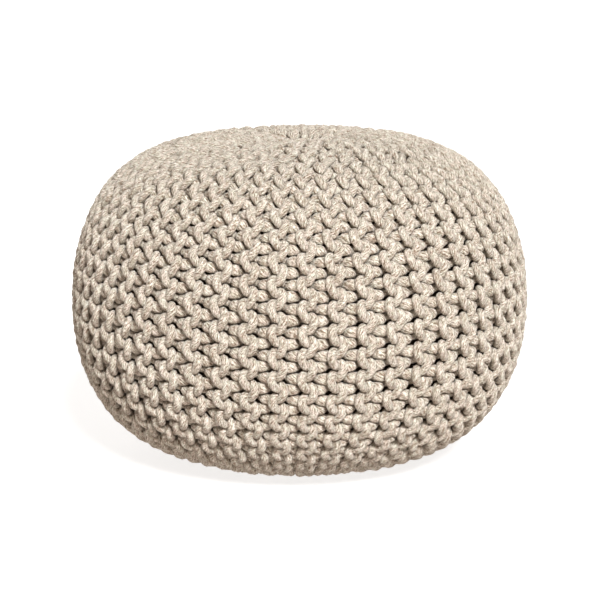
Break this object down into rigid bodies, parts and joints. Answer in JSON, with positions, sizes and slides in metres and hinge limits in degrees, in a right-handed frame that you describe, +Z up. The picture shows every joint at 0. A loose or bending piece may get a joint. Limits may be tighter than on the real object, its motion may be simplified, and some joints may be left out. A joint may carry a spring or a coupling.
{
  "type": "knitted pouf",
  "caption": "Round floor pouf with a full crown and flat base, knitted in thick cream cotton cord with ridges running from the gathered top to the gathered base.",
  "frame": {"origin": "middle of the footprint, on the surface that the pouf stands on", "axes": "+Z up through the gathered top; X and Y level"},
  "size_m": [0.4998, 0.5, 0.3532],
  "materials": {
    "cotton_cord": "matt chunky knit of undyed cream cotton cord, with fine grey and brown flecks"
  },
  "bodies": {
    "root": {"pouf": "cotton_cord"}
  },
  "joints": []
}
